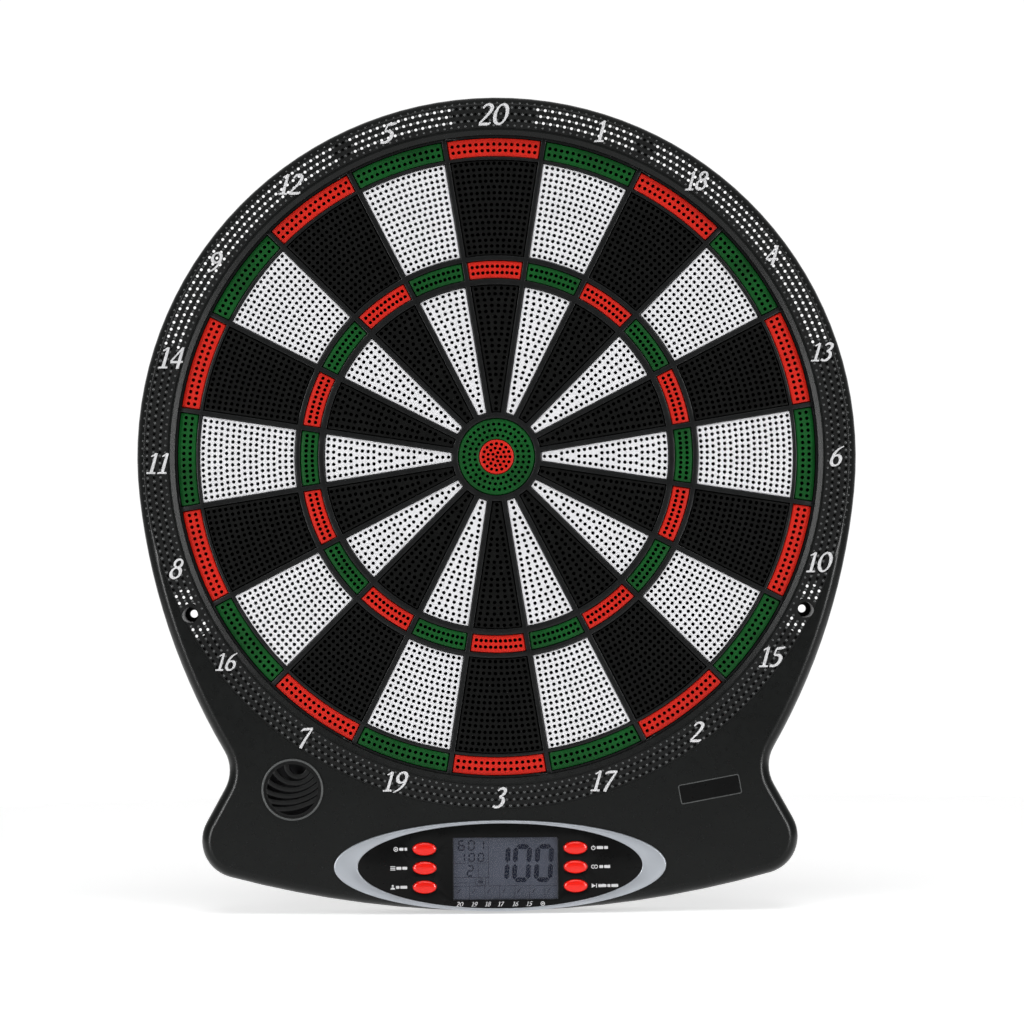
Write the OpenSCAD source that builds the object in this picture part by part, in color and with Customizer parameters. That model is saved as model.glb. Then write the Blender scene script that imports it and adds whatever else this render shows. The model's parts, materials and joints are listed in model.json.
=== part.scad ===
// Electronic dartboard: a round soft-tip target in a black housing, with a scoring console below it.
// Origin: the bull's centre on the wall plane. +X right, +Z up, the front faces -Y.
// Inside place() the drawing lies flat: x right, y up, z = height above the wall plane.

/* [Housing] */
// Radius of the round upper housing
top_r = 190; // [170:1:220]
// Distance from the bull down to the lowest edge
board_low = 240; // [220:1:280]
// Half the width of the console base
console_half = 157.5; // [140:0.5:180]
// Depth from the wall to the front rim
depth = 28; // [26:0.5:36]
// Housing wall thickness
wall = 2.4; // [1.6:0.1:4]
// Width of the rounded front edge, seen from the front
edge_w = 6; // [3:0.5:8]
// Depth of the rounded front edge
edge_d = 10; // [4:0.5:14]

/* [Target] */
// Outer radius of the double ring
double_r = 168; // [150:1:190]
// Inner radius of the double ring
double_in = 158.5; // [140:0.5:180]
// Outer radius of the outer single field
single_out = 156.4; // [140:0.2:180]
// Inner radius of the outer single field
single_in = 106.5; // [90:0.5:120]
// Outer radius of the triple ring
triple_r = 103.4; // [90:0.2:118]
// Inner radius of the triple ring
triple_in = 94.3; // [80:0.1:110]
// Outer radius of the inner single field
inner_out = 90.6; // [70:0.2:100]
// Inner radius of the inner single field
inner_in = 23.7; // [20:0.1:30]
// Radius of the outer bull
bull_r = 20.2; // [16:0.1:24]
// Radius of the inner bull
eye_r = 9.1; // [6:0.1:12]
// Gap between neighbouring fields, spider bar included
web_gap = 3; // [2:0.1:5]
// Travel of a field when a dart strikes it
field_travel = 1.1; // [0.5:0.1:1.2]
// Cut the dart holes through the fields and the number ring
dart_holes = true; // [true, false]
// Radius of a dart hole
hole_r = 0.95; // [0.5:0.05:1.5]
// Distance between neighbouring rows of dart holes
hole_pitch = 3.05; // [2.4:0.05:5]

/* [Number ring] */
// Outer radius of the number ring
band_out = 185.5; // [180:0.5:200]
// Inner radius of the number ring
band_in = 172.9; // [165:0.1:185]
// Height of a numeral
numeral_h = 10.4; // [8:0.2:14]

/* [Console] */
// Height of the console centre above the bull, negative below it
console_y = -215.2; // [-240:0.1:-200]
// Half the length of the silver trim
trim_a = 87.4; // [70:0.1:100]
// Half the height of the silver trim
trim_b = 23.9; // [18:0.1:30]
// Half the length of the control panel
panel_a = 74.7; // [60:0.1:90]
// Half the height of the control panel
panel_b = 22.2; // [16:0.1:28]
// Width of the display window
lcd_w = 55.6; // [40:0.2:70]
// Height of the display window
lcd_h = 32.8; // [20:0.2:36]
// Length of an oval button
button_w = 12.5; // [8:0.1:18]
// Height of an oval button
button_h = 6.8; // [4:0.1:9]
// Travel of a button
button_travel = 1; // [0.4:0.1:1.5]

/* [Fixings] */
// Half the distance between the two side screw holes
side_hole_x = 162; // [150:1:180]
// Height of the side screw holes, negative below the bull
side_hole_y = -82; // [-100:1:-60]
// Radius of a side screw hole
side_hole_r = 2.1; // [1.5:0.1:3]
// Radius of the pocket round the head of a side screw
side_pocket_r = 4.2; // [3.5:0.1:5]

/* [Hidden] */
eps = 0.01;
gap = 0.3;
sectors = 20;
half_step = 180 / sectors;

// heights above the wall plane
cover_t = 2;
back_z = 2.6;
back_t = 3;
sheet_z = back_z + back_t;
sheet_t = 0.4;
rubber_z = sheet_z + 3 * sheet_t;
rubber_t = 2.4;
flange_z = rubber_z + rubber_t + gap + field_travel;
flange_t = 1.6;
spider_z = flange_z + flange_t + 0.4;
field_top = 23.5;
spider_top = 24.5;
floor_z = 24.4;
band_z = 26;
band_t = depth - band_z;
numeral_t = 0.6;
numeral_r = 179.9;
numeral_drop = 1.2;
stroke_w = 1.3;

// radii of the parts round the target
rim_in = double_r + gap;
rim_out = 172.4;
lip_in = 169.5;
plate_r = 173.6;
cover_r = 173.2;

// housing outline: arcs that run into each other without a corner
blend = 6;
flank_r = 340;
flank_end = 30;
waist_r = 20;
flare = 29;
corner_r = 20;
flank_c = [(top_r - flank_r) * cos(blend), (flank_r - top_r) * sin(blend)];
waist_c = flank_c + (flank_r + waist_r) * [cos(flank_end), -sin(flank_end)];
flare_n = [cos(flare), sin(flare)];
waist_t = waist_c - waist_r * flare_n;
corner_x = console_half - corner_r;
corner_y = waist_t[1] + ((waist_t[0] - corner_x) * flare_n[0] - corner_r) / flare_n[1];
corner_c = [corner_x, corner_y];
bottom_k = corner_y + board_low;
bottom_r = (corner_x * corner_x + bottom_k * bottom_k - corner_r * corner_r) / (2 * (bottom_k - corner_r));
bottom_c = [0, bottom_r - board_low];
bottom_a = atan2(corner_y - bottom_c[1], corner_x);
edge_steps = 5;

// places round the board, in degrees clockwise from the top
windows = [[6.9, 24.6], [27.6, 70.9], [112.3, 120.9]];
lug_angles = [0, 84, 136, 164, 196, 224, 276];
lug_r = 178.5;
cover_bosses = [for (a = [26, 100, 260, 334]) 179 * [sin(a), cos(a)]];
corner_bosses = [for (s = [-1, 1], p = [[137.5, -201], [98, -222]]) [s * p[0], p[1]]];
bosses = concat(cover_bosses, corner_bosses);
rim_screws = [for (i = [0:7]) 22.5 + 45 * i];
rim_screw_r = 170.4;

// fields from the rim inwards: inner radius, outer radius, flange inwards, flange outwards,
// distance of the first hole row from the edge, hole spacing along a row
side_flange = 1.15;
FIELDS = [
  [double_in, double_r, 0.7, 0, 3.1, 3],
  [single_in, single_out, 1.2, 0.7, 1.6, 2.97],
  [triple_in, triple_r, 1.5, 1.2, 2.9, 2.5],
  [inner_in, inner_out, 0.9, 1.5, 1.6, 3.3]
];

// console
trim_sink = 1.8;
trim_rise = 1.8;
lcd_x = 2.9;
lcd_y = -216.7;
lcd_case = [57.2, 34.4];
button_x = [-39.7, 39.7];
button_lip = 0.5;
button_y = [-206, -216, -226];
panel_t = 1.4;
board_z = 19;
board_t = 1.6;
board_half = 82;
board_y = [-230, -198];
board_posts = [for (x = [-77.5, 77.5], y = [-223, -208]) [x, y]];
speaker_c = [-108.9, -174.3];
speaker_r = 16.4;

// battery box
cell_r = 7;
cell_len = 50.5;
cell_z = 9.4;
cell_y = [-189.5, -204.5, -219.5];
box_x = 33.5;
box_y = [-228.5, -180.5];
box_t = 1.5;
box_top = 18;
door_x = 31.6;
door_low = -226.6;
hinge_y = -184;
hinge_z = 1.7;
hinge_r = 1.4;
pin_r = 0.8;
ear_x = 29;

function polar(r, a) = r * [sin(a), cos(a)];
function sector_angle(i) = i * 2 * half_step;

// clockwise from the top
numbers = [20, 1, 18, 4, 13, 6, 10, 15, 2, 17, 3, 19, 7, 16, 8, 11, 14, 9, 12, 5];

// ---------- shared shapes ----------

// turns the flat drawing upright, facing the front
module place() {
  rotate([90, 0, 0]) children();
}

module both_sides() {
  children();
  mirror([1, 0, 0]) children();
}

module disc(r, z0, z1) {
  translate([0, 0, z0]) cylinder(r = r, h = z1 - z0);
}

module tube(r_out, r_in, z0, z1) {
  difference() {
    disc(r_out, z0, z1);
    disc(r_in, z0 - 1, z1 + 1);
  }
}

module block(x0, x1, y0, y1, z0, z1) {
  translate([x0, y0, z0]) cube([x1 - x0, y1 - y0, z1 - z0]);
}

module at_points(points) {
  for (p = points) translate([p[0], p[1], 0]) children();
}

// flat ring sector from angle a0 to a1, clockwise from the top
module ring_sector(r_in, r_out, a0, a1, z0, z1) {
  rotate([0, 0, 90 - a1]) rotate_extrude(angle = a1 - a0)
    translate([r_in, z0]) square([r_out - r_in, z1 - z0]);
}

module ellipse(a, b) {
  scale([a, b]) circle(r = 1, $fn = 180);
}

module slab(z0, z1) {
  translate([0, 0, z0]) linear_extrude(z1 - z0) children();
}

// round wire through a list of points
module wire(points, r) {
  for (i = [0:len(points) - 2]) {
    d = points[i + 1] - points[i];
    translate(points[i]) rotate([0, acos(d[2] / norm(d)), atan2(d[1], d[0])])
      cylinder(r = r, h = norm(d));
    translate(points[i + 1]) sphere(r = r + 0.06);
  }
}

// pan-head screw, head underneath at z0, tip pointing up
module screw(z0, length, r, head_r, head_h) {
  disc(head_r, z0, z0 + head_h);
  disc(r, z0 + head_h - eps, z0 + head_h + length);
}

// ---------- housing outline ----------

// points along an arc, its end left out
function arc(c, r, a0, a1, n) = [for (i = [0:n - 1]) let (a = a0 + (a1 - a0) * i / n) c + r * [cos(a), sin(a)]];

// right half of the outline, moved inwards by e, from the lowest point up to the top
function half_outline(e) = concat(
  arc(bottom_c, bottom_r - e, -90, bottom_a, 8),
  arc(corner_c, corner_r - e, bottom_a, flare, 14),
  [corner_c + (corner_r - e) * flare_n],
  arc(waist_c, waist_r + e, 180 + flare, 180 - flank_end, 8),
  arc(flank_c, flank_r - e, -flank_end, -blend, 14),
  arc([0, 0], top_r - e, -blend, 90, 32)
);

// the whole outline, counterclockwise from the lowest point
function outline_points(e) = let (right = half_outline(e)) concat(
  right,
  [[0, top_r - e]],
  [for (i = [len(right) - 1:-1:1]) [-right[i][0], right[i][1]]]
);

module outline(e) {
  polygon(outline_points(e));
}

// solid body of the housing with its rounded front edge
module rounded_body() {
  n = len(outline_points(0));
  turns = [for (k = [0:edge_steps]) 90 * k / edge_steps];
  inset = concat([0], [for (t = turns) edge_w * (1 - cos(t))]);
  level = concat([0], [for (t = turns) depth - edge_d * (1 - sin(t))]);
  last = len(level) - 1;
  points = [for (k = [0:last], p = outline_points(inset[k])) [p[0], p[1], level[k]]];
  sides = [for (k = [0:last - 1], i = [0:n - 1])
    [k * n + i, (k + 1) * n + i, (k + 1) * n + (i + 1) % n, k * n + (i + 1) % n]];
  polyhedron(points, concat([[for (i = [0:n - 1]) i]], sides, [[for (i = [n - 1:-1:0]) last * n + i]]));
}

// ---------- housing ----------

module window_cuts(r_in, r_out, z0, z1) {
  for (w = windows) {
    ring_sector(r_in, r_out, w[0], w[1], z0, z1);
    ring_sector(r_in, r_out, 360 - w[1], 360 - w[0], z0, z1);
  }
}

module console_openings() {
  translate([lcd_x, lcd_y, floor_z + 2]) cube([lcd_case[0] + 0.6, lcd_case[1] + 0.6, 8], center = true);
  for (x = button_x) {
    translate([x, button_y[1], floor_z + 2]) cube([button_w + 2 * button_lip + 0.6, 29, 8], center = true);
  }
}

module front_shell() {
  color([0.1, 0.11, 0.11]) place() difference() {
    union() {
      difference() {
        rounded_body();
        slab(-1, floor_z) outline(wall);
      }
      at_points(bosses) disc(3.6, cover_t + gap, floor_z + eps);
      for (a = lug_angles) at_points([polar(lug_r, a)]) disc(3.8, 22, floor_z + eps);
      at_points(board_posts) disc(3.2, board_z + board_t, floor_z + eps);
      both_sides() at_points([[side_hole_x, side_hole_y]]) disc(side_pocket_r + 1.8, 0, floor_z + eps);
      translate([speaker_c[0], speaker_c[1], 0]) tube(19, 17, 15, floor_z + eps);
    }
    // target opening with a sloping lip, and the pocket of the number ring
    disc(lip_in, 0, depth + 1);
    translate([0, 0, floor_z + 0.8]) cylinder(r1 = lip_in, r2 = band_in - 1, h = depth - floor_z - 0.8 + eps);
    tube(band_out, band_in, band_z, depth + 1);
    window_cuts(band_in + 1.3, band_out - 0.6, floor_z - 1, band_z + 1);
    both_sides() at_points([[side_hole_x, side_hole_y]]) {
      disc(side_hole_r, -1, depth + 1);
      disc(side_pocket_r, 2.5, depth + 1);
    }
    console_openings();
    translate([0, console_y, 0]) slab(depth - trim_sink, depth + 1) difference() {
      ellipse(trim_a + 0.1, trim_b + 0.1);
      ellipse(panel_a + 0.05, panel_b + 0.05);
    }
    translate([speaker_c[0], speaker_c[1], 0]) disc(speaker_r - 1.2, floor_z - 1, depth + 1);
    at_points(bosses) disc(1.2, 1, 16);
    for (a = lug_angles) at_points([polar(lug_r, a)]) disc(1.1, 20, 25.4);
    at_points(board_posts) disc(1, 19, 25);
  }
}

// ---------- number ring ----------

// straight bar between two points of a numeral
module stroke(p, q) {
  d = q - p;
  translate([p[0], p[1], 0]) rotate([0, 0, atan2(d[1], d[0])])
    translate([0, -stroke_w / 2, 0]) cube([norm(d), stroke_w, numeral_t]);
}

// curved part of a numeral
module bow(c, r, a0, a1) {
  translate([c[0], c[1], 0]) rotate([0, 0, a0]) rotate_extrude(angle = a1 - a0)
    translate([r - stroke_w / 2, 0]) square([stroke_w, numeral_t]);
}

module digit(n) {
  if (n == 0) {
    bow([3, 8], 2.2, 0, 180);
    bow([3, 3], 2.2, 180, 360);
    stroke([0.8, 3], [0.8, 8]);
    stroke([5.2, 3], [5.2, 8]);
  }
  if (n == 1) {
    stroke([3.2, 0.2], [3.2, 11]);
    stroke([0.9, 0.9], [5.5, 0.9]);
    stroke([1, 8.6], [3.4, 10.3]);
  }
  if (n == 2) {
    bow([3, 8], 2.2, -40, 170);
    stroke([5, 6.9], [0.8, 1]);
    stroke([0.3, 0.9], [5.6, 0.9]);
  }
  if (n == 3) {
    bow([2.8, 8.1], 2.1, -90, 160);
    bow([2.8, 3.2], 2.4, -160, 90);
  }
  if (n == 4) {
    stroke([4.2, 10.9], [0.5, 3.7]);
    stroke([0.2, 3.4], [5.9, 3.4]);
    stroke([4.1, 0.1], [4.1, 11]);
  }
  if (n == 5) {
    stroke([1, 10.2], [5.4, 10.2]);
    stroke([1.4, 10.6], [1.4, 5.4]);
    bow([2.9, 3.6], 2.5, -150, 125);
  }
  if (n == 6) {
    bow([3, 3.2], 2.3, 0, 360);
    stroke([1, 4], [4.6, 10.8]);
  }
  if (n == 7) {
    stroke([0.4, 10.2], [5.8, 10.2]);
    stroke([5.2, 10.2], [2.2, 0.1]);
  }
  if (n == 8) {
    bow([3, 8.2], 1.9, 0, 360);
    bow([3, 3.1], 2.3, 0, 360);
  }
  if (n == 9) {
    bow([3, 7.9], 2.3, 0, 360);
    stroke([5, 7.1], [1.4, 0.3]);
  }
}

module numeral(n) {
  if (n > 9) {
    translate([-6.5, 0, 0]) digit(floor(n / 10));
    translate([0.5, 0, 0]) digit(n % 10);
  } else {
    translate([-3, 0, 0]) digit(n);
  }
}

module numerals() {
  k = numeral_h / 11.2;
  color([0.92, 0.92, 0.94]) place() for (i = [0:sectors - 1]) {
    a = sector_angle(i);
    p = polar(numeral_r, a) - [0, numeral_drop * abs(sin(a))];
    translate([p[0], p[1] - numeral_h / 2, depth]) scale([k, k, 1]) numeral(numbers[i]);
  }
}

module ring_holes() {
  steps = 296;
  for (i = [0:steps - 1], j = [0:2]) {
    a = (i + (j % 2) / 2) * 360 / steps;
    p = polar(183.9 - 3.4 * j, a);
    from_screw = norm([abs(p[0]) - side_hole_x, p[1] - side_hole_y]);
    if (from_screw > side_pocket_r + 1.6) at_points([p]) disc(0.8, band_z - 1, depth + 1);
  }
}

module number_ring() {
  color([0.08, 0.08, 0.08]) place() difference() {
    tube(band_out - 0.15, band_in + 0.15, band_z, depth);
    both_sides() at_points([[side_hole_x, side_hole_y]]) disc(side_pocket_r, band_z - 1, depth + 1);
    if (dart_holes) ring_holes();
  }
}

// ---------- target ----------

// wedge between two radial bars, centred on the x axis, its edges g from the bars' centre lines
module wedge(g) {
  far = top_r + 60;
  tip = g / sin(half_step);
  polygon([[tip, 0], [tip + far, far * tan(half_step)], [tip + far, -far * tan(half_step)]]);
}

module cell(r_in, r_out, g) {
  intersection() {
    difference() {
      circle(r = r_out);
      circle(r = r_in);
    }
    wedge(g);
  }
}

// dart holes of one field on arcs, spread evenly between its two sides
module field_holes(r_first, r_last, spacing) {
  rows = round((r_last - r_first) / hole_pitch);
  for (i = [0:rows]) {
    r = r_first + i * (r_last - r_first) / rows;
    half = half_step - asin((web_gap / 2 + 2.3) / r);
    n = 1 + round(half * PI / 90 * r / spacing - 0.25);
    for (k = [0:n - 1]) {
      rotate(n == 1 ? 0 : half * (2 * k / (n - 1) - 1)) translate([r, 0]) circle(r = hole_r);
    }
  }
}

// one field: perforated front block and a wider rear flange that the spider keeps in
module field(f) {
  half_gap = web_gap / 2;
  difference() {
    union() {
      slab(flange_z, flange_z + flange_t) cell(f[0] - f[2], f[1] + f[3], half_gap - side_flange);
      slab(flange_z + flange_t - eps, field_top) cell(f[0], f[1], half_gap);
    }
    if (dart_holes) slab(flange_z - 1, field_top + 1) field_holes(f[0] + f[4], f[1] - f[4], f[5]);
  }
}

// the four fields of the sector at position i
module segments(i) {
  color(i % 2 == 0 ? [0.85, 0.2, 0.15] : [0.05, 0.45, 0.2])
    place() rotate([0, 0, 90 - sector_angle(i)]) for (f = FIELDS) field(f);
}

module ring_of_holes(r, n) {
  for (i = [0:n - 1]) rotate(i * 360 / n) translate([r, 0]) circle(r = hole_r - 0.1);
}

module outer_bull() {
  color([0.05, 0.45, 0.2]) place() difference() {
    union() {
      disc(bull_r + 1.2, flange_z, flange_z + flange_t);
      disc(bull_r, flange_z, field_top);
    }
    disc(eye_r + gap, flange_z - 1, field_top + 1);
    disc(eye_r + 1.6, flange_z - 1, flange_z + flange_t + field_travel + gap);
    if (dart_holes) slab(flange_z - 1, field_top + 1) {
      ring_of_holes(17.3, 38);
      ring_of_holes(14.3, 31);
      ring_of_holes(11.4, 25);
    }
  }
}

module inner_bull() {
  color([0.85, 0.2, 0.15]) place() difference() {
    union() {
      disc(eye_r + 1.2, flange_z, flange_z + flange_t);
      disc(eye_r, flange_z, field_top);
    }
    if (dart_holes) slab(flange_z - 1, field_top + 1) {
      ring_of_holes(7, 16);
      ring_of_holes(4.6, 11);
      ring_of_holes(2.3, 5);
      circle(r = hole_r - 0.1);
    }
  }
}

module ring_2d(r_in, r_out) {
  difference() {
    circle(r = r_out);
    circle(r = r_in);
  }
}

module spider() {
  bar = web_gap - 2 * gap;
  color([0.14, 0.14, 0.15]) place() difference() {
    union() {
      slab(spider_z, spider_top) {
        ring_2d(bull_r + gap, inner_in - gap);
        ring_2d(inner_out + gap, triple_in - gap);
        ring_2d(triple_r + gap, single_in - gap);
        ring_2d(single_out + gap, double_in - gap);
        for (i = [0:sectors - 1]) {
          rotate(half_step * (2 * i + 1)) translate([bull_r + 1.5, -bar / 2]) square([rim_in - bull_r, bar]);
        }
      }
      tube(lip_in - gap, rim_in, spider_z, spider_top - 0.3);
      tube(rim_out, rim_in, sheet_z, floor_z - gap);
      for (a = lug_angles) rotate([0, 0, -a]) block(-4.5, 4.5, rim_in + 2, lug_r + 4, 19, 22);
    }
    for (a = lug_angles) at_points([polar(lug_r, a)]) disc(1.6, 18, 23);
    for (a = rim_screws) at_points([polar(rim_screw_r, a)]) disc(1, sheet_z - 1, 14);
    // room for the contact sheets and the rubber sheet, and a gate for the ribbon cable
    block(-16, 16, -plate_r - 5, -160, sheet_z - 1, rubber_z + 0.6);
  }
}

module spider_screws() {
  color([0.7, 0.7, 0.72]) place() for (a = lug_angles) at_points([polar(lug_r, a)])
    screw(17, 5.8, 1.1, 2.8, 2);
}

module rubber_sheet() {
  color([0.25, 0.25, 0.26]) place() disc(rim_in - 0.5, rubber_z, rubber_z + rubber_t);
}

module contact_sheet(level) {
  disc(rim_in - 0.5, sheet_z + level * sheet_t, sheet_z + (level + 1) * sheet_t);
}

module matrix_tail(level) {
  block(-12, 12, -176.5, -rim_in + 8, sheet_z + level * sheet_t, sheet_z + (level + 1) * sheet_t);
}

module matrix_front_sheet() {
  color([0.75, 0.7, 0.45]) place() contact_sheet(2);
}

module matrix_spacer() {
  color([0.85, 0.85, 0.8]) place() difference() {
    contact_sheet(1);
    for (i = [0:sectors - 1], r = [52, 98.5, 131, 163]) {
      at_points([polar(r, sector_angle(i))]) disc(2.5, sheet_z, rubber_z);
    }
  }
}

module matrix_rear_sheet() {
  color([0.75, 0.7, 0.45]) place() {
    contact_sheet(0);
    matrix_tail(0);
  }
}

module backing_plate() {
  color([0.45, 0.33, 0.2]) place() difference() {
    disc(plate_r, back_z, back_z + back_t);
    for (a = rim_screws) at_points([polar(rim_screw_r, a)]) {
      disc(1.4, back_z - 1, sheet_z + 1);
      disc(2.5, back_z - 1, back_z + 1.6);
    }
  }
}

module backing_screws() {
  color([0.7, 0.7, 0.72]) place() for (a = rim_screws) at_points([polar(rim_screw_r, a)])
    screw(back_z + 0.1, 7, 1, 2.3, 1.5);
}

// ---------- back of the housing ----------

module keyhole() {
  slab(-1, cover_t + 1) {
    translate([0, 176]) circle(r = 4);
    translate([0, 181.5]) circle(r = 2);
    translate([-2, 176]) square([4, 5.5]);
  }
}

module battery_box() {
  difference() {
    block(-box_x, box_x, box_y[0], box_y[1], 0, box_top);
    block(-box_x + box_t, box_x - box_t, box_y[0] + box_t, box_y[1] - box_t, -1, box_top - box_t);
    block(18, 22.6, box_y[1] - 4, box_y[1] + 1, 12, 15);
  }
}

module on_hinge() {
  translate([0, hinge_y, hinge_z]) rotate([0, 90, 0]) children();
}

// ears on both sides of the door that carry its hinge pins
module hinge_ears() {
  difference() {
    both_sides() block(ear_x, box_x, hinge_y - 2.2, box_y[1], 0, 3.4);
    on_hinge() cylinder(r = pin_r + 0.05, h = 80, center = true);
  }
}

module rear_cover() {
  color([0.12, 0.12, 0.13]) place() {
    difference() {
      union() {
        difference() {
          slab(0, cover_t) outline(wall + gap);
          block(-box_x + box_t, box_x - box_t, box_y[0] + box_t, box_y[1] - box_t, -1, cover_t + 1);
        }
        battery_box();
      }
      window_cuts(cover_r, top_r + 5, -1, cover_t + 1);
      keyhole();
      both_sides() at_points([[side_hole_x, side_hole_y]]) disc(side_pocket_r + 2.2, -1, cover_t + 1);
      at_points(bosses) {
        disc(1.6, -1, cover_t + 1);
        disc(3.2, -1, 1);
      }
      for (i = [0:5]) block(-130, -88, -182 + 4 * i, -180 + 4 * i, -1, cover_t + 1);
    }
    hinge_ears();
  }
}

module case_screws() {
  color([0.7, 0.7, 0.72]) place() at_points(bosses) screw(0.1, 12, 1.2, 2.8, 0.9 - eps);
}

module battery_door() {
  color([0.14, 0.14, 0.15]) place() {
    difference() {
      block(-door_x, door_x, door_low, hinge_y, 0.2, 2);
      both_sides() block(ear_x - gap, door_x + 1, hinge_y - 3.4, hinge_y + 1, -1, 4);
      block(-8, 8, door_low - 1, door_low + 4, -1, 0.9);
    }
    on_hinge() cylinder(r = hinge_r, h = 2 * ear_x - 1, center = true);
    on_hinge() cylinder(r = pin_r, h = 2 * ear_x + 3, center = true);
  }
}

module batteries() {
  color([0.2, 0.3, 0.6]) place() for (y = cell_y) {
    translate([-cell_len / 2, y, cell_z]) rotate([0, 90, 0]) cylinder(r = cell_r, h = cell_len - 1.5);
    translate([cell_len / 2 - 1.6, y, cell_z]) rotate([0, 90, 0]) cylinder(r = 2.7, h = 1.6);
  }
}

module battery_springs() {
  color([0.75, 0.75, 0.77]) place() for (y = cell_y, i = [0:2]) {
    translate([-cell_len / 2 - 5 + 1.6 * i, y, cell_z]) rotate([0, 90, 0]) rotate_extrude()
      translate([5 - i, 0]) circle(r = 0.85);
  }
}

module battery_contacts() {
  color([0.75, 0.75, 0.77]) place() for (y = cell_y) {
    block(cell_len / 2 + eps, cell_len / 2 + 0.5, y - 5, y + 5, 4, 15);
    block(-cell_len / 2 - 6.4, -cell_len / 2 - 5.85, y - 6, y + 6, 4, 15);
  }
}

// ---------- console ----------

module console_trim() {
  top = depth + trim_rise;
  color([0.68, 0.7, 0.73]) place() translate([0, console_y, 0]) difference() {
    union() {
      slab(depth - trim_sink, top - 0.6) ellipse(trim_a, trim_b);
      slab(top - 0.6 - eps, top) ellipse(trim_a - 0.6, trim_b - 0.6);
    }
    slab(0, top + 1) ellipse(panel_a + 0.15, panel_b + 0.15);
  }
}

module console_panel() {
  color([0.05, 0.05, 0.05]) place() difference() {
    translate([0, console_y, 0]) slab(depth, depth + panel_t) ellipse(panel_a, panel_b);
    translate([lcd_x, lcd_y, depth]) cube([lcd_w, lcd_h, 6], center = true);
    for (x = button_x, y = button_y) {
      translate([x, y, 0]) slab(depth - 1, depth + 3) ellipse(button_w / 2 + gap, button_h / 2 + gap);
    }
  }
}

module lcd_window() {
  color([0.6, 0.65, 0.7, 0.4]) place()
    translate([lcd_x, lcd_y, depth + 0.6]) cube([lcd_w - 0.2, lcd_h - 0.2, 1], center = true);
}

module lcd_panel() {
  color([0.35, 0.37, 0.42]) place()
    translate([lcd_x, lcd_y, 25.6]) cube([lcd_case[0] - 2.4, lcd_case[1] - 1.8, 2.2], center = true);
}

module lcd_holder() {
  color([0.2, 0.2, 0.2]) place() difference() {
    translate([lcd_x, lcd_y, 24.2]) cube([lcd_case[0], lcd_case[1], 7.2], center = true);
    translate([lcd_x, lcd_y, 28.5]) cube([lcd_case[0] - 2.2, lcd_case[1] - 1.6, 8.1], center = true);
    translate([lcd_x, lcd_y, 24]) cube([lcd_case[0] - 8, lcd_case[1] - 8, 10], center = true);
  }
}

// push button: flange behind the panel, cap and a smaller crown
module button(col, row) {
  a = button_w / 2;
  b = button_h / 2;
  color([0.9, 0.15, 0.08]) place() translate([button_x[col], button_y[row], 0]) {
    slab(depth - 2, depth - 0.5) ellipse(a + button_lip, b + button_lip);
    slab(depth - 0.5 - eps, depth + 2) ellipse(a, b);
    slab(depth + 2 - eps, depth + 2.6) ellipse(a - 0.7, b - 0.7);
  }
}

module keypads() {
  base = board_z + board_t + 1.2;
  dome_top = depth - 2 - button_travel - 2 * gap;
  color([0.35, 0.35, 0.37]) place() for (x = button_x) {
    block(x - 7, x + 7, button_y[2] - 4, button_y[0] + 4, board_z + board_t, base);
    for (y = button_y) translate([x, y, base - eps]) cylinder(r1 = 3.6, r2 = 2.6, h = dome_top - base + eps);
  }
}

module main_board() {
  color([0.05, 0.35, 0.15]) place() difference() {
    block(-board_half, board_half, board_y[0], board_y[1], board_z, board_z + board_t);
    at_points(board_posts) disc(1.3, board_z - 1, board_z + board_t + 1);
  }
}

module board_screws() {
  color([0.7, 0.7, 0.72]) place() at_points(board_posts) screw(board_z - 1.2, 6, 1, 2.2, 1.2);
}

module controller_chip() {
  color([0.05, 0.05, 0.05]) place() block(48, 62, -222, -208, board_z - 2.2, board_z);
}

// flat cable from the contact sheets, over the battery box, to the back of the main board
module ribbon_cable() {
  low = sheet_z + sheet_t;
  high = board_z - 0.8;
  color([0.8, 0.8, 0.78]) place() {
    block(-10, 10, -178, -174.6, low, low + 0.4);
    block(-10, 10, -178, -177.6, low, high + 0.4);
    block(-10, 10, -203, -177.6, high, high + 0.4);
    block(-10, 10, -203, -199, high, board_z);
  }
}

module speaker() {
  color([0.2, 0.2, 0.22]) place() translate([speaker_c[0], speaker_c[1], 0]) {
    tube(16.6, 13.5, 20.4, 22.4);
    translate([0, 0, 15]) cylinder(r1 = 8, r2 = 13.6, h = 6);
    disc(8.5, 9, 15.01);
  }
}

module speaker_grille() {
  color([0.1, 0.1, 0.11]) place() translate([speaker_c[0], speaker_c[1], 0]) {
    tube(speaker_r, speaker_r - 1.7, depth, depth + 0.8);
    tube(speaker_r - 1.5, speaker_r - 3, floor_z + 0.4, depth + 0.01);
    intersection() {
      disc(speaker_r - 2.9, 0, depth + 2);
      for (i = [0:5]) translate([3 - 1.8 * i, 12.8 + 2.6 * i, 0])
        tube(7.2 + 6 * i, 4.8 + 6 * i, floor_z + 1.6, depth + 0.4);
    }
  }
}

module speaker_wires() {
  color([0.75, 0.1, 0.1]) place() {
    wire([[-99.4, -174.3, 12], [-96.5, -190, 14], [-86, -206, 16], [-79.5, -213, 18.2]], 0.6);
    wire([[-100.4, -178.3, 12], [-98, -192, 14], [-88, -208, 16], [-79.5, -215.4, 18.2]], 0.6);
  }
}

module battery_wires() {
  color([0.1, 0.1, 0.1]) place() {
    wire([[19.2, -183, 13.5], [19.2, -177.3, 13.5], [41, -177.3, 15.4], [47, -203, 18.3]], 0.6);
    wire([[21.4, -183, 13.5], [21.4, -178.9, 13.5], [38.6, -178.9, 15.4], [44, -203, 18.3]], 0.6);
  }
}

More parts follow.
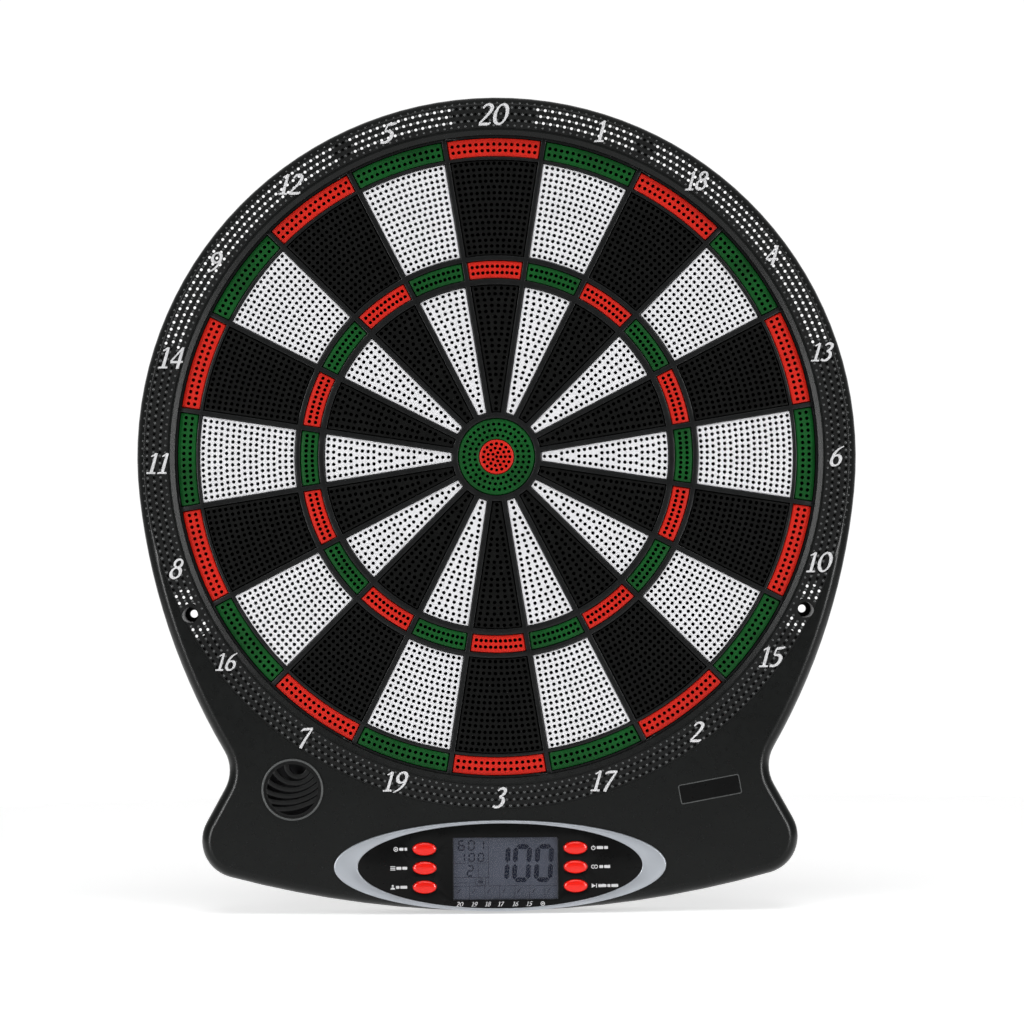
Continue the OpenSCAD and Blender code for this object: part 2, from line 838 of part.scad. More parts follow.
// ---------- which pieces to draw ----------

front_shell();
number_ring();
numerals();
spider();
spider_screws();
segments(0);  // segments_20
segments(1);  // segments_01
segments(2);  // segments_18
segments(3);  // segments_04
segments(4);  // segments_13
segments(5);  // segments_06
segments(6);  // segments_10
segments(7);  // segments_15
segments(8);  // segments_02
segments(9);  // segments_17
segments(10);  // segments_03
segments(11);  // segments_19
segments(12);  // segments_07
segments(13);  // segments_16
segments(14);  // segments_08
segments(15);  // segments_11
segments(16);  // segments_14
segments(17);  // segments_09
segments(18);  // segments_12
segments(19);  // segments_05
outer_bull();
inner_bull();
rubber_sheet();
matrix_front_sheet();
matrix_spacer();
matrix_rear_sheet();
backing_plate();
backing_screws();
rear_cover();
case_screws();
console_trim();
console_panel();
lcd_window();
lcd_panel();
lcd_holder();
button(0, 0);  // button_left_top
button(0, 1);  // button_left_middle
button(0, 2);  // button_left_bottom
button(1, 0);  // button_right_top
button(1, 1);  // button_right_middle
button(1, 2);  // button_right_bottom
keypads();
main_board();
board_screws();
controller_chip();
ribbon_cable();
speaker();
speaker_grille();
speaker_wires();
battery_door();
batteries();
battery_springs();
battery_contacts();
battery_wires();
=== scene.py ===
"""Looks of an electronic dartboard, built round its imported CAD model.

Drawing coordinates, as in the CAD source: x to the right and y up from the bull's centre, h outwards from
the wall, all in millimetres. at() turns them into the frame's metres, where the front faces -Y.
"""

import json
import math

import bmesh
import bpy
import numpy as np
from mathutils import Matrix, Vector


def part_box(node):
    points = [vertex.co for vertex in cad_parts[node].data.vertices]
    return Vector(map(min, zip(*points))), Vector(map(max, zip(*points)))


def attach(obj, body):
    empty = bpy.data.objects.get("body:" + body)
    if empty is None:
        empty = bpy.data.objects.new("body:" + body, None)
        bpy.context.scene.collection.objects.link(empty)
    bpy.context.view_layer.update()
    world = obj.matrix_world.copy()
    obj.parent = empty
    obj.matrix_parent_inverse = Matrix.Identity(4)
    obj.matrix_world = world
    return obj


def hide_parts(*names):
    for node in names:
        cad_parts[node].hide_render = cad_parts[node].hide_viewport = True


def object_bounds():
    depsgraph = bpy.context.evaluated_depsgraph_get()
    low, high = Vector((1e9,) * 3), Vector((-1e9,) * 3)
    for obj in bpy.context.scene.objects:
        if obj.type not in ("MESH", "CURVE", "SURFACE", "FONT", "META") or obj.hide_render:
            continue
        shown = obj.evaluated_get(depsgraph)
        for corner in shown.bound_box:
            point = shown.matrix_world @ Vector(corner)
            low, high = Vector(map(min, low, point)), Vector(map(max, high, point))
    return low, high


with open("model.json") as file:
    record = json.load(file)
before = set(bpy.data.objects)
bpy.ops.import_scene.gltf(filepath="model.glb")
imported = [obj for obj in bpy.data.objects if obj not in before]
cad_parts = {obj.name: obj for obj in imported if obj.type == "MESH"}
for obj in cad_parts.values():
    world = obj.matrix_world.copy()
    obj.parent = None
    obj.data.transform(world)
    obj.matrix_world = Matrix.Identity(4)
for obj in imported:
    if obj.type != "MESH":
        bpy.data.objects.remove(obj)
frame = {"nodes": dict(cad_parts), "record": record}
cad_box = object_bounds()
nodes = frame["nodes"]
MM = 0.001


def at(x, y, h):
    return Vector((x, -h, y)) * MM


def extent(node):
    """Lowest and highest drawing coordinates of a CAD node, in millimetres."""
    low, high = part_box(node)
    return Vector((low.x, low.z, -high.y)) / MM, Vector((high.x, high.z, -low.y)) / MM


def centre(node):
    """Middle of a CAD node in the drawing's x and y."""
    low, high = extent(node)
    return (low.x + high.x) / 2, (low.y + high.y) / 2


def polar(r, degrees):
    """Drawing point at radius r, degrees clockwise from the top."""
    a = math.radians(degrees)
    return r * math.sin(a), r * math.cos(a)


def radius(vertex):
    """Distance of a mesh corner from the bull's axis."""
    return math.hypot(vertex.co.x, vertex.co.z) / MM


def level(vertex):
    """Distance of a mesh corner from the wall."""
    return -vertex.co.y / MM


NUMBERS = [20, 1, 18, 4, 13, 6, 10, 15, 2, 17, 3, 19, 7, 16, 8, 11, 14, 9, 12, 5]
STEP = 360 / len(NUMBERS)


# ---------- materials ----------

class Nodes:
    """Short names for the nodes of one procedural material."""

    def __init__(self, name):
        self.material = bpy.data.materials.new(name)
        self.material.use_nodes = True
        self.tree = self.material.node_tree
        self.shader = self.tree.nodes["Principled BSDF"]
        self.place = self.add("ShaderNodeTexCoord").outputs["Object"]

    def add(self, kind, inputs=None, **settings):
        node = self.tree.nodes.new(kind)
        for key, value in settings.items():
            setattr(node, key, value)
        for key, value in (inputs or {}).items():
            if isinstance(value, bpy.types.NodeSocket):
                self.tree.links.new(value, node.inputs[key])
            else:
                node.inputs[key].default_value = value
        return node

    def noise(self, size_mm, detail=2.0, rough=0.5):
        """Noise whose blobs are about size_mm across."""
        inputs = {"Vector": self.place, "Scale": 1 / (size_mm * MM), "Detail": detail, "Roughness": rough}
        return self.add("ShaderNodeTexNoise", inputs).outputs["Fac"]

    def blend(self, share, low, high):
        """Colours from low to high as share goes from 0.35 to 0.65."""
        ramp = self.add("ShaderNodeValToRGB", {"Fac": share})
        ramp.color_ramp.elements[0].position = 0.35
        ramp.color_ramp.elements[1].position = 0.65
        ramp.color_ramp.elements[0].color = (*low, 1)
        ramp.color_ramp.elements[1].color = (*high, 1)
        return ramp.outputs["Color"]

    def scaled(self, share, low, high):
        """Values from low to high as share goes from 0.3 to 0.7."""
        inputs = {"Value": share, "From Min": 0.3, "From Max": 0.7, "To Min": low, "To Max": high}
        return self.add("ShaderNodeMapRange", inputs).outputs["Result"]

    def bump(self, height, depth_mm):
        inputs = {"Height": height, "Distance": depth_mm * MM, "Strength": 1.0}
        return self.add("ShaderNodeBump", inputs).outputs["Normal"]

    def set(self, **sockets):
        """Sets or links the shader's inputs and gives back the material."""
        names = {"color": "Base Color", "rough": "Roughness", "normal": "Normal", "metal": "Metallic",
                 "spec": "Specular IOR Level", "alpha": "Alpha",
                 "glow": "Emission Strength", "glow_color": "Emission Color"}
        for key, value in sockets.items():
            socket = self.shader.inputs[names[key]]
            if isinstance(value, bpy.types.NodeSocket):
                self.tree.links.new(value, socket)
            else:
                socket.default_value = value
        return self.material


def plastic(name, color, rough=0.5, spec=0.3, grain_mm=0.35, grain_depth=0.02, mottle=0.1, **more):
    """Moulded plastic: fine grain, a slow change of shade over the part and uneven gloss."""
    n = Nodes(name)
    low = [c * (1 - mottle) for c in color]
    high = [min(1, c * (1 + mottle)) for c in color]
    shade = n.blend(n.noise(18, 3), low, high)
    gloss = n.scaled(n.noise(4, 4), rough * 0.88, min(1, rough * 1.12))
    grain = n.bump(n.noise(grain_mm, 3), grain_depth)
    return n.set(color=shade, rough=gloss, spec=spec, normal=grain, **more)


def metal(name, color, rough=0.3, scratch_mm=0.15):
    """Plated metal with fine scratches and a slightly uneven tint."""
    n = Nodes(name)
    low = [c * 0.85 for c in color]
    gloss = n.scaled(n.noise(1.2, 5), rough * 0.7, rough * 1.3)
    return n.set(color=n.blend(n.noise(3, 4), low, color), rough=gloss, metal=1.0,
                 normal=n.bump(n.noise(scratch_mm, 4, 0.7), 0.004))


def film(name, color, trace, pitch_mm):
    """Printed contact film: stripes of silver ink on a clear yellowish sheet."""
    n = Nodes(name)
    inputs = {"Vector": n.place, "Scale": 1 / (pitch_mm * MM) / 6.28, "Distortion": 0.6, "Detail": 1.0}
    wave = n.add("ShaderNodeTexWave", inputs, wave_type="RINGS", rings_direction="Y").outputs["Fac"]
    return n.set(color=n.blend(wave, color, trace), rough=0.35, spec=0.4, normal=n.bump(wave, 0.03))


def fibreboard(name, color):
    """Pressed wood fibres: long speckles over a brown ground."""
    n = Nodes(name)
    fibres = n.noise(0.9, 8, 0.75)
    return n.set(color=n.blend(fibres, [c * 0.7 for c in color], color), rough=0.8, spec=0.2,
                 normal=n.bump(fibres, 0.12))


def circuit_board(name, color, copper):
    """Solder mask over copper tracks."""
    n = Nodes(name)
    inputs = {"Vector": n.place, "Scale": 1 / (3.5 * MM), "Randomness": 0.25}
    cells = n.add("ShaderNodeTexVoronoi", inputs, feature="DISTANCE_TO_EDGE", distance="CHEBYCHEV")
    near_edge = {0: cells.outputs["Distance"], 1: 0.12}
    tracks = n.add("ShaderNodeMath", near_edge, operation="LESS_THAN").outputs[0]
    return n.set(color=n.blend(tracks, color, copper), rough=0.3, spec=0.5, normal=n.bump(tracks, 0.05))


def display_film(name, color, shadow):
    """Reflective liquid crystal layer: a faint pixel weave and cloudy shading."""
    n = Nodes(name)
    cloud = n.blend(n.noise(14, 2), shadow, color)
    return n.set(color=cloud, rough=0.45, spec=0.25, normal=n.bump(n.noise(0.2, 1), 0.003))


def window_glass(name, tint):
    """Thin clear window with a soft gloss and faint handling marks."""
    n = Nodes(name)
    marks = n.scaled(n.noise(6, 6, 0.6), 0.06, 0.2)
    shade = n.blend(n.noise(20), [c * 0.8 for c in tint], tint)
    return n.set(color=shade, rough=marks, spec=0.5, alpha=0.06)


# Plastics: colour, roughness, gloss, grain size and depth in millimetres, mottling.
MATERIALS = {
    "housing_black": plastic("housing_black", (0.0044, 0.0051, 0.0048), 0.29, 0.2, 0.5, 0.015),
    "ring_black": plastic("ring_black", (0.0050, 0.0054, 0.0053), 0.42, 0.18, 0.4, 0.02),
    # Light grey of the number ring's pimples: a painted highlight on the ring's black plastic.
    "pimple_painted_highlight": plastic("pimple_painted_highlight", (0.055, 0.058, 0.058), 0.36, 0.35, 0.4, 0.01),
    "numeral_white": plastic("numeral_white", (0.66, 0.66, 0.67), 0.5, 0.2, 0.3, 0.02, 0.06),
    "spider_black": plastic("spider_black", (0.0062, 0.0067, 0.0069), 0.34, 0.2, 0.4, 0.02),
    "field_white": plastic("field_white", (0.77, 0.77, 0.79), 0.48, 0.3, 0.5, 0.015, 0.03),
    "field_black": plastic("field_black", (0.0028, 0.0030, 0.0028), 0.44, 0.09, 0.5, 0.02),
    "field_red": plastic("field_red", (0.63, 0.013, 0.004), 0.42, 0.2, 0.5, 0.015, 0.06),
    "field_green": plastic("field_green", (0.0012, 0.074, 0.010), 0.42, 0.16, 0.5, 0.015, 0.18),
    "rubber_grey": plastic("rubber_grey", (0.008, 0.008, 0.009), 0.85, 0.1, 0.8, 0.05),
    "contact_film": film("contact_film", (0.55, 0.42, 0.14), (0.5, 0.5, 0.5), 3),
    "spacer_film": plastic("spacer_film", (0.7, 0.7, 0.62), 0.3, 0.4, 0.6, 0.01),
    "fibreboard": fibreboard("fibreboard", (0.22, 0.11, 0.045)),
    "cover_black": plastic("cover_black", (0.013, 0.0135, 0.014), 0.6, 0.3, 0.7, 0.06),
    "screw_steel": metal("screw_steel", (0.62, 0.62, 0.64), 0.28),
    "trim_silver": plastic("trim_silver", (0.39, 0.415, 0.45), 0.34, 0.5, 0.25, 0.012, 0.06, metal=0.35),
    "panel_black": plastic("panel_black", (0.0028, 0.0030, 0.0030), 0.3, 0.11, 0.4, 0.008),
    "window_clear": window_glass("window_clear", (0.12, 0.13, 0.16)),
    "display_grey": display_film("display_grey", (0.068, 0.076, 0.104), (0.056, 0.063, 0.088)),
    "holder_black": plastic("holder_black", (0.02, 0.02, 0.021), 0.6, 0.3),
    "button_red": plastic("button_red", (0.88, 0.008, 0.001), 0.22, 0.45, 0.4, 0.006, 0.05),
    "board_green": circuit_board("board_green", (0.01, 0.10, 0.03), (0.03, 0.2, 0.06)),
    "chip_black": plastic("chip_black", (0.015, 0.015, 0.016), 0.5, 0.4, 0.2, 0.02),
    "cable_white": plastic("cable_white", (0.6, 0.6, 0.57), 0.45, 0.4, 0.6, 0.02),
    "speaker_grey": plastic("speaker_grey", (0.02, 0.02, 0.022), 0.7, 0.2, 0.4, 0.05),
    "grille_black": plastic("grille_black", (0.0035, 0.0038, 0.0038), 0.4, 0.2, 0.4, 0.02),
    "wire_red": plastic("wire_red", (0.5, 0.02, 0.02), 0.4, 0.4, 0.5, 0.01),
    "wire_black": plastic("wire_black", (0.012, 0.012, 0.012), 0.4, 0.4, 0.5, 0.01),
    "cell_jacket": plastic("cell_jacket", (0.03, 0.08, 0.3), 0.25, 0.5, 1.5, 0.01, 0.2),
    "contact_nickel": metal("contact_nickel", (0.66, 0.64, 0.58), 0.25),
    "ink_faint": plastic("ink_faint", (0.024, 0.027, 0.042), 0.5, 0.1, 0.4, 0.004),
    "ink_soft": plastic("ink_soft", (0.012, 0.014, 0.026), 0.5, 0.1, 0.4, 0.004),
    "ink_dark": plastic("ink_dark", (0.004, 0.006, 0.017), 0.5, 0.1, 0.4, 0.004),
    # Light grey for the badge's rim, and a painted highlight on the speaker grille's black rim.
    "grey_rim_and_painted_highlight": plastic("grey_rim_and_painted_highlight", (0.075, 0.079, 0.078), 0.4, 0.3, 0.4, 0.01),
}


# ---------- meshes ----------

def add_piece(name, mesh, slot, body="case", replaces=(), look=None):
    """Puts a finished mesh on a body with the material of its record slot, or another look."""
    piece = bpy.data.objects.new(name, mesh)
    bpy.context.scene.collection.objects.link(piece)
    mesh.materials.clear()
    mesh.materials.append(MATERIALS[look or slot])
    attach(piece, body)
    if replaces:
        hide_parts(*replaces)
    return piece


def finish_mesh(bm, name, sharp_degrees=35):
    """Turns a bmesh into a mesh shaded smooth, with edges above sharp_degrees kept sharp."""
    bm.normal_update()
    limit = math.radians(sharp_degrees)
    for edge in bm.edges:
        edge.smooth = len(edge.link_faces) == 2 and edge.calc_face_angle(0) < limit
    for face in bm.faces:
        face.smooth = True
    mesh = bpy.data.meshes.new(name)
    bm.to_mesh(mesh)
    bm.free()
    return mesh


def cad_arrays(node):
    """Corner points and triangles of a CAD node with its coincident corners merged, in metres."""
    mesh = nodes[node].data
    points = np.empty(len(mesh.vertices) * 3)
    mesh.vertices.foreach_get("co", points)
    corners = np.empty(len(mesh.loops), int)
    mesh.loops.foreach_get("vertex_index", corners)
    rounded = np.round(points.reshape(-1, 3), 7)
    _, first, back = np.unique(rounded, axis=0, return_index=True, return_inverse=True)
    triangles = back.reshape(-1)[corners].reshape(-1, 3)
    whole = (triangles[:, 0] != triangles[:, 1]) & (triangles[:, 1] != triangles[:, 2])
    whole &= triangles[:, 0] != triangles[:, 2]
    return points.reshape(-1, 3)[first], triangles[whole]


def bmesh_of(points, triangles):
    """Bmesh of some of a node's triangles."""
    used, renumbered = np.unique(triangles, return_inverse=True)
    mesh = bpy.data.meshes.new("work")
    mesh.from_pydata(points[used].tolist(), [], renumbered.reshape(-1, 3).tolist())
    bm = bmesh.new()
    bm.from_mesh(mesh)
    bpy.data.meshes.remove(mesh)
    return bm


def bevel(bm, edges, width, segments=2):
    """Rounds edges over, width in millimetres."""
    bmesh.ops.bevel(bm, geom=edges, offset=width * MM, offset_type="OFFSET", segments=segments, profile=0.5,
                    affect="EDGES", clamp_overlap=True)


def dissolve_flat(bm):
    """Merges the triangles of flat faces."""
    bmesh.ops.dissolve_limit(bm, angle_limit=math.radians(0.3), verts=bm.verts[:], edges=bm.edges[:])


def is_corner(edge):
    """Does the surface turn sharply at the edge?"""
    return len(edge.link_faces) == 2 and edge.calc_face_angle(0) > math.radians(40)


def loft(rings, cap_ends=False):
    """Mesh through closed rings of equal length."""
    bm = bmesh.new()
    rows = [[bm.verts.new(p) for p in ring] for ring in rings]
    count = len(rows[0])
    for a, b in zip(rows, rows[1:]):
        for i in range(count):
            j = (i + 1) % count
            bm.faces.new((a[i], a[j], b[j], b[i]))
    if cap_ends:
        bm.faces.new(rows[0][::-1])
        bm.faces.new(rows[-1])
    bmesh.ops.recalc_face_normals(bm, faces=bm.faces[:])
    return bm


def closed_loft(rings):
    """Loft whose last ring joins its first."""
    bm = loft(rings + rings[:1])
    bmesh.ops.remove_doubles(bm, verts=bm.verts[:], dist=1e-8)
    return bm


def ellipse_ring(cx, cy, a, b, h, count=128):
    angles = [math.tau * i / count for i in range(count)]
    return [at(cx + a * math.cos(t), cy + b * math.sin(t), h) for t in angles]


def join(parts):
    """One bmesh from several."""
    whole = bmesh.new()
    for part in parts:
        mesh = bpy.data.meshes.new("work")
        part.to_mesh(mesh)
        part.free()
        whole.from_mesh(mesh)
        bpy.data.meshes.remove(mesh)
    return whole


# ---------- plain CAD nodes ----------

def rounded_copy(name, node, slot, body, pick, width):
    """Copy of a CAD node whose edges chosen by pick are rounded off."""
    bm = bmesh_of(*cad_arrays(node))
    dissolve_flat(bm)
    bevel(bm, [e for e in bm.edges if is_corner(e) and pick(e)], width)
    return add_piece(name, finish_mesh(bm, name), slot, body, (node,))


def dress_cad_nodes():
    """Gives every CAD node that stays in view its material."""
    for row in frame["record"]["subparts"]:
        looks = nodes[row["node"]].data.materials
        looks.clear()
        looks.append(MATERIALS[row["material_slot"]])


# ---------- target ----------

# Each field's triangles all reach inwards to a radius within its ring's limits.
FIELD_SPLITS = {
    "double": (157.45, 999),
    "outer": (104.95, 157.45),
    "triple": (92.45, 104.95),
    "inner": (0, 92.45),
}
# Radii of the front edges that are rounded.
BULL_RIMS = {"outer_bull": (20.2, 9.4), "inner_bull": (9.1,)}
BULL_SLOTS = {"outer_bull": "field_green", "inner_bull": "field_red"}


def field_slot(i, ring):
    if ring in ("double", "triple"):
        return "field_red" if i % 2 == 0 else "field_green"
    return "field_black" if i % 2 == 0 else "field_white"


def front_edge(edge, top):
    """Does the edge lie in the front plane, where the surface turns away by more than a radian?"""
    flat = all(abs(level(v) - top) < 0.01 for v in edge.verts)
    return flat and len(edge.link_faces) == 2 and edge.calc_face_angle(0) > 1


def on_outline(edge, middle_degrees):
    """Is a front edge on the rim of its field, and not on a dart hole?

    Edges longer than those of a hole, edges along an arc round the bull and edges beside a radial bar are.
    """
    longest_at_hole, nearest_hole_to_bar = 2, 1.6
    a, b = (v.co / MM for v in edge.verts)
    if (a - b).length > longest_at_hole:
        return True
    radii = [math.hypot(p.x, p.z) for p in (a, b)]
    turn = math.degrees(math.atan2((a + b).x, (a + b).z)) - middle_degrees
    turn = abs((turn + 180) % 360 - 180)
    from_bar = radii[0] * math.sin(math.radians(STEP / 2 - turn))
    return abs(radii[0] - radii[1]) < 0.002 or from_bar < nearest_hole_to_bar


def make_fields():
    top = extent("segments_20")[1].z
    for i, number in enumerate(NUMBERS):
        node = f"segments_{number:02d}"
        points, triangles = cad_arrays(node)
        nearest = (np.hypot(points[:, 0], points[:, 2]) / MM)[triangles].min(axis=1)
        for ring, (low, high) in FIELD_SPLITS.items():
            bm = bmesh_of(points, triangles[(nearest >= low) & (nearest < high)])
            rim = [e for e in bm.edges if front_edge(e, top) and on_outline(e, i * STEP)]
            bevel(bm, rim, 0.5)
            name = f"field_{number:02d}_{ring}"
            add_piece(name, finish_mesh(bm, name), field_slot(i, ring), f"sector_{number:02d}", (node,))


def make_bulls():
    top = extent("inner_bull")[1].z
    for node, rims in BULL_RIMS.items():
        bm = bmesh_of(*cad_arrays(node))
        rim = [e for e in bm.edges
               if front_edge(e, top) and any(abs(radius(e.verts[0]) - r) < 0.02 for r in rims)]
        bevel(bm, rim, 0.6, 3)
        name = node + "_face"
        add_piece(name, finish_mesh(bm, name), BULL_SLOTS[node], node, (node,))


def make_spider():
    top = extent("spider")[1].z
    bm = bmesh_of(*cad_arrays("spider"))
    bevel(bm, [e for e in bm.edges if front_edge(e, top)], 0.55)
    add_piece("spider_web", finish_mesh(bm, "spider_web"), "spider_black", "case", ("spider",))


# ---------- housing ----------

def weigh_normals(piece):
    """Keeps large flat faces flat-shaded beside small rounded ones."""
    piece.modifiers.new("weighted", "WEIGHTED_NORMAL").keep_sharp = True


LIP_INNER_R = 169.5
LIP_OUTER_R = 171.9
LIP_CAD_LEVEL = 25.2
LIP_LEVEL = 26.9


def make_housing():
    """The shell, with a shallower lip round the target that catches the side lights."""
    name = "front_shell_moulding"
    bm = bmesh_of(*cad_arrays("front_shell"))
    dissolve_flat(bm)
    for v in bm.verts:
        if abs(radius(v) - LIP_INNER_R) < 0.01 and abs(level(v) - LIP_CAD_LEVEL) < 0.02:
            v.co.y = -LIP_LEVEL * MM
    shell = add_piece(name, finish_mesh(bm, name, 38), "housing_black", "case", ("front_shell",))
    corners = shell.data.vertices
    for edge in shell.data.edges:
        if all(abs(radius(corners[k]) - LIP_OUTER_R) < 0.05 for k in edge.vertices):
            edge.use_edge_sharp = True
    weigh_normals(shell)


# ---------- number ring ----------

PIMPLE_STEPS = 296
PIMPLE_HEIGHT = 0.4
SIDE_POCKET = (162, -82)
POCKET_CLEARANCE = 5


def dome(x, y, base, r, height, sides=8):
    """Low round pimple."""
    bm = bmesh.new()
    rings = []
    for share, lift in ((1, 0), (0.72, 0.62)):
        points = ellipse_ring(x, y, r * share, r * share, base + height * lift, sides)
        rings.append([bm.verts.new(p) for p in points])
    tip = bm.verts.new(at(x, y, base + height))
    for i in range(sides):
        j = (i + 1) % sides
        bm.faces.new((rings[0][i], rings[0][j], rings[1][j], rings[1][i]))
        bm.faces.new((rings[1][i], rings[1][j], tip))
    bm.faces.new(rings[0][::-1])
    return bm


def make_number_ring():
    """Rows of pimples between the dart holes, one more row inside them and one on the housing's edge,
    coloured light grey as a painted highlight on the ring's black plastic.
    """
    name = "number_ring_pimples"
    top = extent("number_ring")[1].z
    edge_top = 27.15
    rows = (
        # radius, shift in steps, pimple radius, height of the ground
        (186.3, 0.5, 0.6, edge_top),
        (183.9, 0.5, 0.75, top),
        (180.5, 0, 0.75, top),
        (177.1, 0.5, 0.75, top),
        (174.4, 0, 0.65, top),
    )
    pimples = []
    for r, shift, size, ground in rows:
        for i in range(PIMPLE_STEPS):
            x, y = polar(r, (i + shift) * 360 / PIMPLE_STEPS)
            if math.hypot(abs(x) - SIDE_POCKET[0], y - SIDE_POCKET[1]) > POCKET_CLEARANCE:
                pimples.append(dome(x, y, ground - 0.05, size, PIMPLE_HEIGHT))
    # The pimples are the ring's black plastic, painted light grey as a painted highlight.
    add_piece(name, finish_mesh(join(pimples), name, 80), "ring_black", look="pimple_painted_highlight")


def bowl(cx, cy, rx, ry, thin, thick, lean=25, count=28):
    """Closed stroke round a counter, thick where a slanted pen would press."""
    points = []
    for i in range(count):
        t = math.tau * i / count
        press = math.cos(t - math.radians(lean)) ** 2
        points.append((cx + rx * math.cos(t), cy + ry * math.sin(t), thin + (thick - thin) * press))
    return points


# Width of each digit and its strokes, in shares of its height: x, y and width of the pen along each stroke.
DIGITS = {
    0: (0.60, [("ring", bowl(0.30, 0.50, 0.245, 0.455, 0.075, 0.135))]),
    1: (0.42, [("line", [(0.25, 0.98, 0.10), (0.24, 0.50, 0.12), (0.23, 0.02, 0.12)]),
               ("line", [(0.05, 0.83, 0.05), (0.14, 0.88, 0.07), (0.25, 0.965, 0.09)]),
               ("line", [(0.03, 0.035, 0.07), (0.24, 0.045, 0.08), (0.42, 0.035, 0.07)])]),
    2: (0.50, [("line", [(0.05, 0.78, 0.07), (0.13, 0.92, 0.09), (0.27, 0.955, 0.10), (0.40, 0.86, 0.13),
                         (0.40, 0.68, 0.13), (0.27, 0.42, 0.10), (0.05, 0.10, 0.07)]),
               ("line", [(0.03, 0.055, 0.10), (0.25, 0.05, 0.11), (0.43, 0.06, 0.09),
                         (0.50, 0.13, 0.04)])]),
    3: (0.48, [("line", [(0.07, 0.84, 0.06), (0.15, 0.93, 0.09), (0.28, 0.955, 0.11), (0.40, 0.85, 0.13),
                         (0.36, 0.67, 0.11), (0.20, 0.54, 0.08)]),
               ("line", [(0.20, 0.545, 0.08), (0.36, 0.48, 0.11), (0.42, 0.30, 0.14), (0.33, 0.11, 0.12),
                         (0.16, 0.04, 0.09), (0.02, 0.11, 0.10)])]),
    4: (0.56, [("line", [(0.40, 0.97, 0.08), (0.22, 0.66, 0.07), (0.02, 0.32, 0.07)]),
               ("line", [(0.02, 0.29, 0.09), (0.28, 0.29, 0.09), (0.54, 0.30, 0.07)]),
               ("line", [(0.40, 0.98, 0.09), (0.385, 0.50, 0.12), (0.37, -0.02, 0.12)])]),
    5: (0.50, [("line", [(0.14, 0.90, 0.10), (0.30, 0.91, 0.11), (0.50, 0.96, 0.07)]),
               ("line", [(0.14, 0.90, 0.07), (0.115, 0.75, 0.07), (0.10, 0.58, 0.07)]),
               ("line", [(0.10, 0.57, 0.07), (0.27, 0.585, 0.10), (0.41, 0.46, 0.14), (0.38, 0.22, 0.13),
                         (0.22, 0.06, 0.10), (0.02, 0.07, 0.11)])]),
    6: (0.50, [("ring", bowl(0.26, 0.29, 0.20, 0.255, 0.075, 0.13)),
               ("line", [(0.46, 0.99, 0.04), (0.28, 0.87, 0.08), (0.13, 0.65, 0.11),
                         (0.065, 0.34, 0.12)])]),
    7: (0.52, [("line", [(0.02, 0.82, 0.05), (0.09, 0.90, 0.09), (0.28, 0.92, 0.11), (0.50, 0.94, 0.08)]),
               ("line", [(0.49, 0.95, 0.07), (0.36, 0.62, 0.10), (0.24, 0.28, 0.12),
                         (0.17, -0.02, 0.13)])]),
    8: (0.50, [("ring", bowl(0.27, 0.755, 0.165, 0.195, 0.075, 0.11, 150)),
               ("ring", bowl(0.25, 0.29, 0.205, 0.255, 0.08, 0.13, 25))]),
    9: (0.50, [("ring", bowl(0.27, 0.69, 0.20, 0.255, 0.075, 0.13)),
               ("line", [(0.47, 0.66, 0.12), (0.44, 0.38, 0.11), (0.28, 0.12, 0.09),
                         (0.03, -0.06, 0.05)])]),
}
SLANT = 0.27


def curved(points, steps=5):
    """Open Catmull-Rom curve through (x, y, width) points."""
    count = len(points)
    out = []
    for i in range(count - 1):
        p = [points[max(0, min(count - 1, i + k))] for k in (-1, 0, 1, 2)]
        for s in range(steps):
            t = s / steps
            out.append(tuple(0.5 * (2 * b + (c - a) * t + (2 * a - 5 * b + 4 * c - d) * t * t
                                    + (3 * b - a - 3 * c + d) * t ** 3) for a, b, c, d in zip(*p)))
    return out + [points[-1]]


def pen_stroke(kind, points, place, size, base, top, edge):
    """Solid pen stroke with softened front edges. place moves it, size is the numeral's height."""
    closed = kind == "ring"
    line = points if closed else curved(points)
    count = len(line)
    rings = []
    for i, (x, y, width) in enumerate(line):
        before = line[(i - 1) % count] if closed else line[max(i - 1, 0)]
        after = line[(i + 1) % count] if closed else line[min(i + 1, count - 1)]
        along = Vector((after[0] - before[0], after[1] - before[1])).normalized()
        side = Vector((-along.y, along.x))
        half = width / 2
        profile = ((-half, base), (-half, top - edge), (-half + edge / size, top),
                   (half - edge / size, top), (half, top - edge), (half, base))
        ring = []
        for off, h in profile:
            px, py = x + side.x * off, y + side.y * off
            ring.append(at(place[0] + (px + SLANT * (py - 0.5)) * size, place[1] + (py - 0.5) * size, h))
        rings.append(ring)
    if closed:
        return loft(rings + rings[:1])
    return loft(rings, cap_ends=True)


def union(parts, name):
    """Boolean union of closed bmeshes as one mesh."""
    things = []
    for i, part in enumerate(parts):
        bmesh.ops.remove_doubles(part, verts=part.verts[:], dist=1e-8)
        bmesh.ops.recalc_face_normals(part, faces=part.faces[:])
        mesh = bpy.data.meshes.new(f"{name}_{i}")
        part.to_mesh(mesh)
        part.free()
        things.append(bpy.data.objects.new(mesh.name, mesh))
        bpy.context.scene.collection.objects.link(things[-1])
    whole = things[0]
    for other in things[1:]:
        cut = whole.modifiers.new("union", "BOOLEAN")
        cut.operation = "UNION"
        cut.solver = "EXACT"
        cut.object = other
    bpy.context.view_layer.update()
    evaluated = whole.evaluated_get(bpy.context.evaluated_depsgraph_get())
    bm = bmesh.new()
    bm.from_mesh(bpy.data.meshes.new_from_object(evaluated))
    for thing in things:
        bpy.data.objects.remove(thing)
    return bm


